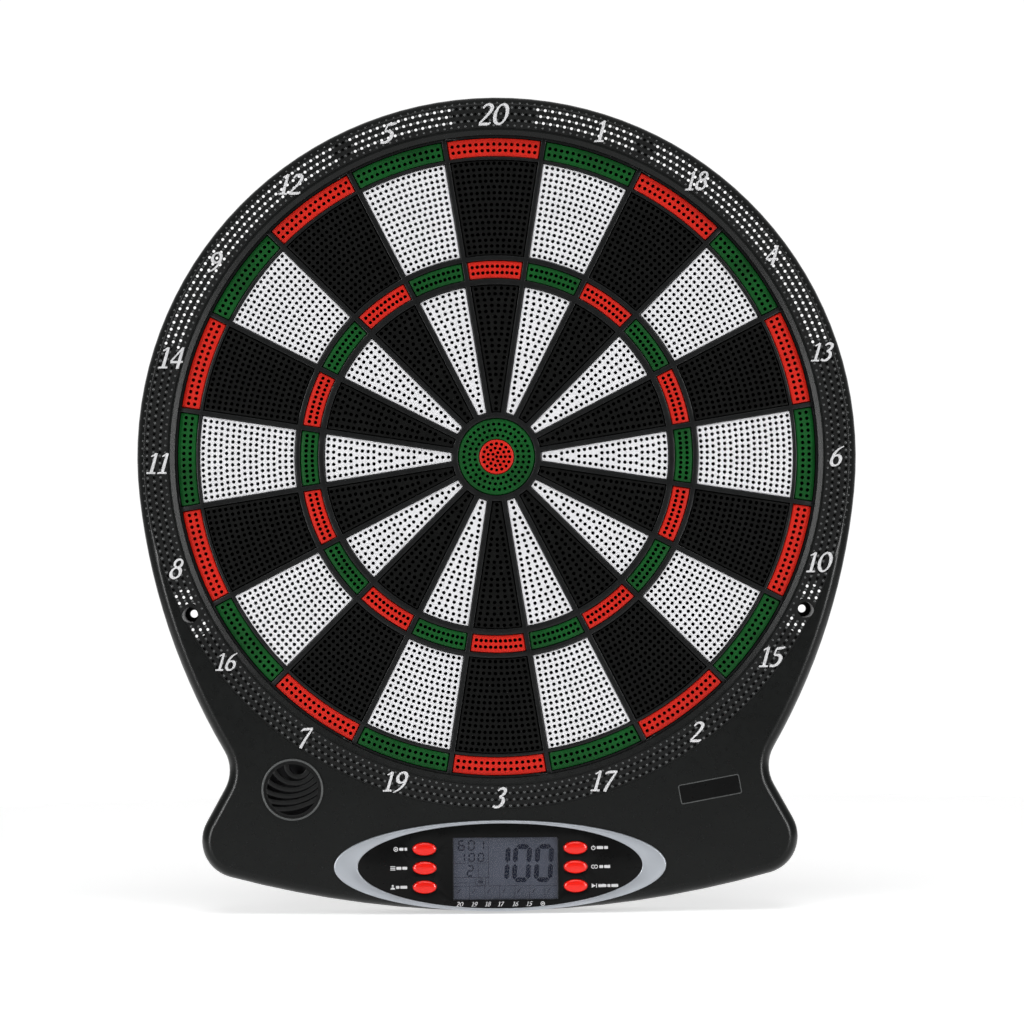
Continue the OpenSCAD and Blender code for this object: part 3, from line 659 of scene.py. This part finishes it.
def number_strokes(number, x, y, size, base, top, edge, stretch=1.0, weight=1.0):
    """Strokes of one or two numerals centred on x, y. stretch widens them, weight thickens the pen."""
    digits = [int(d) for d in str(number)]
    width = (sum(DIGITS[d][0] for d in digits) + DIGIT_GAP * (len(digits) - 1)) * stretch
    left = -width / 2
    strokes = []
    for d in digits:
        advance, shapes = DIGITS[d]
        for kind, points in shapes:
            drawn = [(px * stretch, py, pen * weight) for px, py, pen in points]
            strokes.append(pen_stroke(kind, drawn, (x + left * size, y), size, base, top, edge))
        left += (advance + DIGIT_GAP) * stretch
    return strokes


NUMERAL_R = 179.9
NUMERAL_DROP = 1.2
DIGIT_GAP = 0.06
# Height of each numeral and its shift to the right and upwards from its place on the ring.
NUMERALS = {
    20: (11.4, 0.5, 0.2), 1: (11.3, 1.0, 0.0), 18: (10.0, 1.0, -0.6), 4: (10.3, 0.7, 0.0),
    13: (9.8, 0.9, -0.9), 6: (10.6, -0.9, -0.1), 10: (10.6, -1.5, -0.2), 15: (10.8, -1.6, 0.2),
    2: (10.6, -1.3, 0.6), 17: (10.9, -0.6, 0.5), 3: (10.8, 0.3, 0.4), 19: (10.5, 1.0, 1.1),
    7: (10.6, 3.8, -0.7), 16: (9.3, 2.6, 0.0), 8: (10.7, 2.4, -0.7), 11: (11.0, 2.1, -0.8),
    14: (11.2, 1.0, -0.9), 9: (10.2, -1.4, -0.8), 12: (10.8, -1.0, -0.6), 5: (11.2, 0.2, 0.0),
}


def make_numerals():
    """Upright numerals, those beside the bull a little lower than the ring's own line."""
    name = "ring_numerals"
    base = extent("numerals")[0].z - 0.02
    top = extent("numerals")[1].z
    shapes = []
    for i, number in enumerate(NUMBERS):
        x, y = polar(NUMERAL_R, i * STEP)
        y -= NUMERAL_DROP * abs(math.sin(math.radians(i * STEP)))
        size, right, up = NUMERALS[number]
        strokes = number_strokes(number, x + right, y + up, size, base, top, 0.16, stretch=1.1, weight=1.22)
        shapes.append(union(strokes, f"numeral_{number}"))
    add_piece(name, finish_mesh(join(shapes), name, 50), "numeral_white", "case", ("numerals",))


# ---------- console ----------

def make_trim():
    """Oval trim with rounded edges, each profile point an inset and a height below or above its face."""
    name = "console_trim_ring"
    low, high = extent("console_trim")
    panel_low, panel_high = extent("console_panel")
    cy = (low.y + high.y) / 2
    a, b = high.x, (high.y - low.y) / 2
    inner_a, inner_b = panel_high.x + 0.1, (panel_high.y - panel_low.y) / 2 + 0.1
    outside = [(0, low.z), (0, high.z - 0.75), (0.12, high.z - 0.35), (0.38, high.z - 0.08), (0.7, high.z)]
    inside = [(0.45, high.z), (0.2, high.z - 0.1), (0.04, high.z - 0.35), (0, high.z - 0.8), (0, low.z)]
    rings = [ellipse_ring(0, cy, a - e, b - e, h, 160) for e, h in outside]
    rings += [ellipse_ring(0, cy, inner_a + e, inner_b + e, h, 160) for e, h in inside]
    add_piece(name, finish_mesh(closed_loft(rings), name, 50), "trim_silver", "case", ("console_trim",))


def make_panel():
    name = "console_panel_plate"
    top = extent("console_panel")[1].z
    bm = bmesh_of(*cad_arrays("console_panel"))
    bevel(bm, [e for e in bm.edges if front_edge(e, top)], 0.25)
    add_piece(name, finish_mesh(bm, name), "panel_black", "case", ("console_panel",))


BUTTON_NODES = [f"button_{side}_{row}" for side in ("left", "right") for row in ("top", "middle", "bottom")]


def make_buttons():
    """Glossy domed caps over the CAD flanges."""
    flange_thick, dome_high, dome_rings = 1.5, 1.5, 10
    for node in BUTTON_NODES:
        low, high = extent(node)
        cx, cy = centre(node)
        flange_a, flange_b = (high.x - low.x) / 2, (high.y - low.y) / 2
        a, b = flange_a - 0.5, flange_b - 0.5
        shoulder = high.z - dome_high
        rings = [ellipse_ring(cx, cy, flange_a, flange_b, h, 64) for h in (low.z, low.z + flange_thick)]
        rings += [ellipse_ring(cx, cy, a, b, h, 64) for h in (low.z + flange_thick, shoulder)]
        for k in range(1, dome_rings):
            t = math.pi / 2 * k / dome_rings
            share = math.cos(t) ** 0.75
            h = shoulder + (high.z - shoulder) * math.sin(t)
            rings.append(ellipse_ring(cx, cy, a * share, b * share, h, 64))
        bm = loft(rings)
        bm.verts.ensure_lookup_table()
        count = len(rings[0])
        bm.faces.new(bm.verts[:count][::-1])
        tip = bm.verts.new(at(cx, cy, high.z))
        last = bm.verts[:][-1 - count:-1]
        for i in range(count):
            bm.faces.new((last[i], last[(i + 1) % count], tip))
        bmesh.ops.recalc_face_normals(bm, faces=bm.faces[:])
        add_piece(node + "_cap", finish_mesh(bm, node + "_cap", 50), "button_red", node, (node,))


# ---------- printed marks and small pieces ----------

def plate(points, base, top):
    """Flat solid over a closed outline of drawing points."""
    return loft([[at(*p, h) for p in points] for h in (base, top)], cap_ends=True)


def band(outer, inner, base, top):
    """Flat closed band between two outlines with the same number of points."""
    lines = ((outer, base), (outer, top), (inner, top), (inner, base))
    return closed_loft([[at(*p, h) for p in line] for line, h in lines])


def rectangle(x0, y0, x1, y1):
    return [(x0, y0), (x1, y0), (x1, y1), (x0, y1)]


def rounded_rectangle(x0, y0, x1, y1, r, steps=5):
    points = []
    corners = ((x1 - r, y1 - r, 0), (x0 + r, y1 - r, 90), (x0 + r, y0 + r, 180), (x1 - r, y0 + r, 270))
    for cx, cy, start in corners:
        for k in range(steps + 1):
            t = math.radians(start + 90 * k / steps)
            points.append((cx + r * math.cos(t), cy + r * math.sin(t)))
    return points


def circle_points(cx, cy, r, count=24, first=0.0, last=360.0):
    """Points round a circle, or along an arc with both its ends."""
    ends = 1 if last - first < 360 else 0
    angles = [math.radians(first + (last - first) * i / count) for i in range(count + ends)]
    return [(cx + r * math.cos(t), cy + r * math.sin(t)) for t in angles]


SEGMENTS = {0: "abcdef", 1: "bc", 2: "abged", 6: "afgedc"}


def segment_digit(value, x, y, width, height, stroke, lean, base, top):
    """Seven-segment numeral with its lower left corner at x, y, leaning to the right by lean."""
    half, s, gap = height / 2, stroke / 2, stroke * 0.1
    shapes = []
    for name in SEGMENTS[value]:
        if name in "agd":
            cy = {"a": height - s, "g": half, "d": s}[name]
            ends = (s + gap, width - s - gap)
            points = [(ends[0], cy), (ends[0] + s, cy - s), (ends[1] - s, cy - s), (ends[1], cy),
                      (ends[1] - s, cy + s), (ends[0] + s, cy + s)]
        else:
            cx = s if name in "fe" else width - s
            ends = (half + gap, height - s - gap) if name in "fb" else (s + gap, half - gap)
            points = [(cx, ends[0]), (cx + s, ends[0] + s), (cx + s, ends[1] - s), (cx, ends[1]),
                      (cx - s, ends[1] - s), (cx - s, ends[0] + s)]
        shapes.append(plate([(x + px + lean * py, y + py) for px, py in points], base, top))
    return shapes


DISPLAY_LINE = 0.3
# Small counters: numeral, lower left corner from the display's centre, width and height.
COUNTERS = [
    (6, -25.2, 9.3, 3.7, 5.7), (0, -19.9, 9.3, 3.7, 5.7), (1, -14.9, 9.3, 3.7, 5.7),
    (1, -24.7, 3.4, 3.4, 4.9), (0, -19.7, 3.4, 3.6, 4.9), (0, -14.9, 3.4, 3.6, 4.9),
    (2, -20.6, -4.4, 3.7, 6.2),
]
# Large score: numeral and its left edge from the display's centre.
SCORE = [(1, -8.2), (0, 3.0), (0, 14.6)]


def display_boxes(cx, cy, base, top):
    """Fine lines that part the display: the counters' boxes at the left and the row of boxes below."""
    left, right, foot, head = cx - 27.2, cx + 27.2, cy - 16.0, cy + 16.2
    divider, shelf = cx - 9.2, cy - 9.4
    upright = cx - 14.5
    line = DISPLAY_LINE
    corners = [(divider, shelf, divider + line, head), (left, shelf, right, shelf + line),
               (left, cy + 2.7, divider, cy + 2.7 + line), (left, cy - 4.9, divider, cy - 4.9 + line),
               (left, cy - 7.7, divider - 7.6, cy - 7.7 + line),
               (upright, cy - 4.7, upright + line, cy + 2.7)]
    first, pitch, count = cx - 27, 7.9, 7
    corners += [(first + i * pitch, foot, first + i * pitch + line, shelf) for i in range(1, count)]
    boxes = [plate(rectangle(*box), base, top) for box in corners]
    for i in range(count):
        x = first + i * pitch
        tick = [(x + 1.2, cy - 12.9), (x + 1.9, cy - 12.9), (x + 3.4, cy - 10.8), (x + 2.7, cy - 10.8)]
        boxes.append(plate(tick, base, top))
    return boxes


def display_sign(cx, cy, base, top):
    """Small oval in a rounded frame at the foot of the counters."""
    outer = rounded_rectangle(cx - 16.2, cy - 9, cx - 10.4, cy - 5.3, 0.8)
    inner = rounded_rectangle(cx - 15.9, cy - 8.7, cx - 10.7, cy - 5.6, 0.6)
    angles = [math.tau * k / 20 for k in range(20)]
    oval = [(cx - 13.3 + 1.6 * math.cos(t), cy - 7.1 + 0.9 * math.sin(t)) for t in angles]
    return [band(outer, inner, base, top), plate(oval, base, top)]


def add_display_piece(name, shapes, look):
    add_piece(name, finish_mesh(join(shapes), name), "display_grey", look=look)


def make_display():
    """Liquid crystal marks: small counters at the left, the large score and a row of boxes below."""
    high = extent("lcd_panel")[1]
    cx, cy = centre("lcd_panel")
    base, top = high.z - 0.02, high.z + 0.1
    lines = display_boxes(cx, cy, base, top) + display_sign(cx, cy, base, top)
    add_display_piece("display_lines", lines, "ink_faint")

    small = []
    for value, x, y, width, height in COUNTERS:
        small += segment_digit(value, cx + x, cy + y, width, height, 0.85, 0.05, base, top)
    add_display_piece("display_counters", small, "ink_soft")

    large = []
    for value, x in SCORE:
        large += segment_digit(value, cx + x, cy - 7.5, 9.8, 20.1, 2.6, 0.068, base, top)
    add_display_piece("display_score", large, "ink_dark")


# Field numbers printed under the display and their shifts from its middle. A small target follows them.
FIELD_ROW = [(20, -24.1), (19, -16.5), (18, -9.4), (17, -2.6), (16, 5.1), (15, 12.3)]
FIELD_ROW_TARGET = 19.4
FIELD_ROW_DROP = 18.5
# Plain bars beside each button: left end from the button's middle, then the lengths of the bars.
SIGN_BARS = {
    "button_left_top": (-13.2, (2.2, 1.4)),
    "button_left_middle": (-14.8, (2.6, 2.6)),
    "button_left_bottom": (-15.1, (1.8, 3.6)),
    "button_right_top": (11.2, (3.4, 2.0)),
    "button_right_middle": (12.5, (2.0, 3.2)),
    "button_right_bottom": (11.9, (4.2, 1.6, 3.6)),
}


def small_target(x, y, outer, inner, base, top):
    """Ring with a dot in it."""
    ring = band(circle_points(x, y, outer), circle_points(x, y, inner), base, top)
    return [ring, plate(circle_points(x, y, 0.4, 12), base, top)]


def field_row_marks(base, top):
    cx, cy = centre("lcd_panel")
    foot = cy - FIELD_ROW_DROP
    marks = []
    for number, dx in FIELD_ROW:
        marks += number_strokes(number, cx + dx, foot, 2.4, base, top, 0.01, stretch=1.2, weight=1.3)
    return marks + small_target(cx + FIELD_ROW_TARGET, foot, 1.15, 0.8, base, top)


def sign_bars(node, base, top):
    """Bars in place of a word."""
    x, y = centre(node)
    start, lengths = SIGN_BARS[node]
    x += start
    bars = []
    for length in lengths:
        bars.append(plate(rounded_rectangle(x, y - 0.75, x + length, y + 0.75, 0.35, 3), base, top))
        x += length + 0.5
    return bars


def target_sign(x, y, base, top):
    return small_target(x - 15, y, 1.2, 0.8, base, top)


def list_sign(x, y, base, top):
    """Three short lines."""
    return [plate(rectangle(x - 18, y + lift - 0.22, x - 15.4, y + lift + 0.22), base, top)
            for lift in (-0.85, 0, 0.85)]


def player_sign(x, y, base, top):
    """Head and shoulders."""
    head = circle_points(x - 16.8, y + 0.7, 0.55, 14)
    shoulders = circle_points(x - 16.8, y - 1.15, 1.15, 14, 0, 180)
    return [plate(head, base, top), plate(shoulders, base, top)]


def power_sign(x, y, base, top):
    """Open ring with a bar in its gap."""
    outer = circle_points(x + 9.4, y - 0.1, 1.15, 20, -230, 50)
    inner = circle_points(x + 9.4, y - 0.1, 0.75, 20, -230, 50)
    bar = rectangle(x + 9.2, y + 0.1, x + 9.6, y + 1.25)
    return [band(outer, inner, base, top), plate(bar, base, top)]


def double_sign(x, y, base, top):
    """Two linked rings."""
    return [band(circle_points(x + dx, y, 1.05), circle_points(x + dx, y, 0.65), base, top)
            for dx in (9.2, 10.7)]


def next_sign(x, y, base, top):
    """Triangle against a bar."""
    triangle = [(x + 8.4, y - 1.1), (x + 10.5, y), (x + 8.4, y + 1.1)]
    bar = rectangle(x + 10.7, y - 1.1, x + 11.1, y + 1.1)
    return [plate(triangle, base, top), plate(bar, base, top)]


SIGNS = {
    "button_left_top": target_sign,
    "button_left_middle": list_sign,
    "button_left_bottom": player_sign,
    "button_right_top": power_sign,
    "button_right_middle": double_sign,
    "button_right_bottom": next_sign,
}


def make_panel_marks():
    """White marks printed on the panel: field numbers under the display and a sign beside each button."""
    base = extent("console_panel")[1].z - 0.02
    top = base + 0.1
    marks = field_row_marks(base, top)
    for node, sign in SIGNS.items():
        marks += sign(*centre(node), base, top) + sign_bars(node, base, top)
    add_piece("panel_marks", finish_mesh(join(marks), "panel_marks"), "numeral_white")


def make_badge():
    """Blank name plate, a little askew, with a thin rim."""
    base = extent("front_shell")[1].z - 0.02
    cx, cy, lean = 110.8, -175.9, math.radians(10.3)

    def laid(points):
        return [(cx + x * math.cos(lean) - y * math.sin(lean), cy + x * math.sin(lean) + y * math.cos(lean))
                for x, y in points]

    outer = laid(rounded_rectangle(-16.3, -5.2, 16.3, 5.2, 1.1))
    inner = laid(rounded_rectangle(-15.8, -4.7, 15.8, 4.7, 0.7))
    add_piece("badge_plate", finish_mesh(plate(inner, base, base + 0.12), "badge_plate"), "panel_black")
    add_piece("badge_rim", finish_mesh(band(outer, inner, base, base + 0.22), "badge_rim"), "speaker_grey",
              look="grey_rim_and_painted_highlight")


def make_grille():
    """Speaker grille: rounded louvres inside a raised rim, coloured light grey as a painted highlight."""
    low, high = extent("speaker_grille")
    cx, cy = centre("speaker_grille")
    louvre_r, louvre_top = 13.6, high.z - 0.4
    bm = bmesh_of(*cad_arrays("speaker_grille"))
    edges = [e for e in bm.edges if front_edge(e, louvre_top) and
             all(math.hypot(v.co.x / MM - cx, v.co.z / MM - cy) < louvre_r for v in e.verts)]
    bevel(bm, edges, 0.35)
    name = "speaker_grille_louvres"
    add_piece(name, finish_mesh(bm, name), "grille_black", "case", ("speaker_grille",))

    outer = (high.x - low.x) / 2
    profile = [(outer - 0.1, -0.1), (outer - 0.15, 0.15), (outer - 0.4, 0.3), (outer - 0.9, 0.3),
               (outer - 1.15, 0.15), (outer - 1.2, -0.1)]
    rim = closed_loft([ellipse_ring(cx, cy, r, r, high.z + lift, 96) for r, lift in profile])
    name = "speaker_grille_rim"
    # The rim is black plastic, painted light grey as a painted highlight all round.
    add_piece(name, finish_mesh(rim, name, 50), "grille_black", look="grey_rim_and_painted_highlight")


def cross_ring(x, y, h, count=48):
    """Outline of a cross recess, as seen from the wall side."""
    arm, half = 1.5, 0.32
    out = []
    for i in range(count):
        t = math.tau * (i + 0.5) / count
        c, s = abs(math.cos(t)), abs(math.sin(t))
        r = max(min(arm / c, half / s), min(half / c, arm / s))
        out.append(at(x + r * math.cos(t), y + r * math.sin(t), h))
    return out


def make_case_screws():
    """Pan head screws with a cross recess, at the same bosses as in the CAD."""
    name = "case_screw_set"
    low, high = extent("case_screws")
    bosses = [polar(179, a) for a in (26, 100, 260, 334)]
    bosses += [(s * x, y) for s in (-1, 1) for x, y in ((137.5, -201), (98, -222))]
    profile = [(high.z, 1.2), (low.z + 0.9, 1.2), (low.z + 0.9, 2.8), (low.z + 0.5, 2.8),
               (low.z + 0.18, 2.5), (low.z, 1.9)]
    angles = [math.tau * (i + 0.5) / 48 for i in range(48)]
    screws = []
    for x, y in bosses:
        rings = [[at(x + r * math.cos(t), y + r * math.sin(t), h) for t in angles] for h, r in profile]
        rings += [cross_ring(x, y, low.z), cross_ring(x, y, low.z + 0.6)]
        screws.append(loft(rings, cap_ends=True))
    add_piece(name, finish_mesh(join(screws), name), "screw_steel", "case", ("case_screws",))


def at_wall(edge):
    return all(abs(level(v)) < 0.01 for v in edge.verts)


def make_back():
    cover = rounded_copy("rear_cover_plate", "rear_cover", "cover_black", "case", at_wall, 0.45)
    door = rounded_copy("battery_door_plate", "battery_door", "cover_black", "battery_door", at_wall, 0.35)
    weigh_normals(cover)
    weigh_normals(door)


# ---------- camera, floor and light ----------

def make_camera():
    """Straight view of the front from a little under the bull's height, the picture turned by the roll."""
    low = cad_box[0]
    camera = bpy.data.objects.new("camera", bpy.data.cameras.new("camera"))
    bpy.context.scene.collection.objects.link(camera)
    distance, frame_width, roll = 1.9, 0.538, 0.5
    camera.data.sensor_width = 36
    camera.data.lens = 36 * distance / frame_width
    camera.location = (low.x + 0.1979, low.y - distance, -0.0292)
    camera.rotation_euler = (math.radians(90), math.radians(roll), 0)
    bpy.context.scene.camera = camera


def area_light(name, place, target, size, power):
    light = bpy.data.lights.new(name, "AREA")
    light.shape = "RECTANGLE"
    light.size, light.size_y = size
    light.energy = power
    lamp = bpy.data.objects.new(name, light)
    lamp.location = place
    lamp.rotation_euler = (Vector(target) - Vector(place)).to_track_quat("-Z", "Y").to_euler()
    bpy.context.scene.collection.objects.link(lamp)
    return lamp


def make_world():
    """White surroundings behind the board, dimmer ones in front of it."""
    world = bpy.data.worlds.new("studio")
    world.use_nodes = True
    tree = world.node_tree
    sky = tree.nodes["Background"]
    sky.inputs["Color"].default_value = (1, 1, 1, 1)
    direction = tree.nodes.new("ShaderNodeTexCoord")
    split = tree.nodes.new("ShaderNodeSeparateXYZ")
    strength = tree.nodes.new("ShaderNodeMapRange")
    tree.links.new(direction.outputs["Generated"], split.inputs["Vector"])
    tree.links.new(split.outputs["Y"], strength.inputs["Value"])
    tree.links.new(strength.outputs["Result"], sky.inputs["Strength"])
    strength.inputs["From Min"].default_value = 0.8
    strength.inputs["From Max"].default_value = 0.96
    strength.inputs["To Min"].default_value = 0.22
    strength.inputs["To Max"].default_value = 1.05
    bpy.context.scene.world = world


def make_lights():
    """A soft box above, a narrow strip on each side and beside it a lamp seen only in reflections."""
    aim = (0, 0, -0.05)
    area_light("top_box", (0, -0.9, 1.7), (0, 0, -0.1), (1.6, 1.0), 17)
    for side, name in ((-1, "left"), (1, "right")):
        area_light(name + "_strip", (1.16 * side, -1.1, 0), aim, (0.12, 1.6), 8)
        sheen = area_light(name + "_sheen", (1.2 * side, -1.05, 0), aim, (0.35, 1.6), 26)
        sheen.visible_diffuse = False


def make_floor():
    """White disc under the board that glows a little, so that it merges with the background."""
    low = cad_box[0]
    disc = bmesh.new()
    bmesh.ops.create_circle(disc, cap_ends=True, radius=0.8, segments=96)
    mesh = bpy.data.meshes.new("floor")
    disc.to_mesh(mesh)
    disc.free()
    floor = bpy.data.objects.new("floor", mesh)
    floor.location = (0, 0, low.z - 0.0005)
    bpy.context.scene.collection.objects.link(floor)
    n = Nodes("floor_white")
    n.set(color=n.blend(n.noise(60), (0.88, 0.88, 0.88), (0.9, 0.9, 0.9)), rough=0.5, spec=0.2,
          glow_color=(1, 1, 1, 1), glow=0.53)
    mesh.materials.append(n.material)


def set_view():
    settings = bpy.context.scene.view_settings
    settings.view_transform = "Standard"
    settings.look = "None"


make_camera()
make_world()
make_lights()
make_floor()
set_view()
dress_cad_nodes()
make_fields()
make_bulls()
make_spider()
make_housing()
make_number_ring()
make_numerals()
make_trim()
make_panel()
make_buttons()
make_display()
make_panel_marks()
make_badge()
make_grille()
make_case_screws()
make_back()
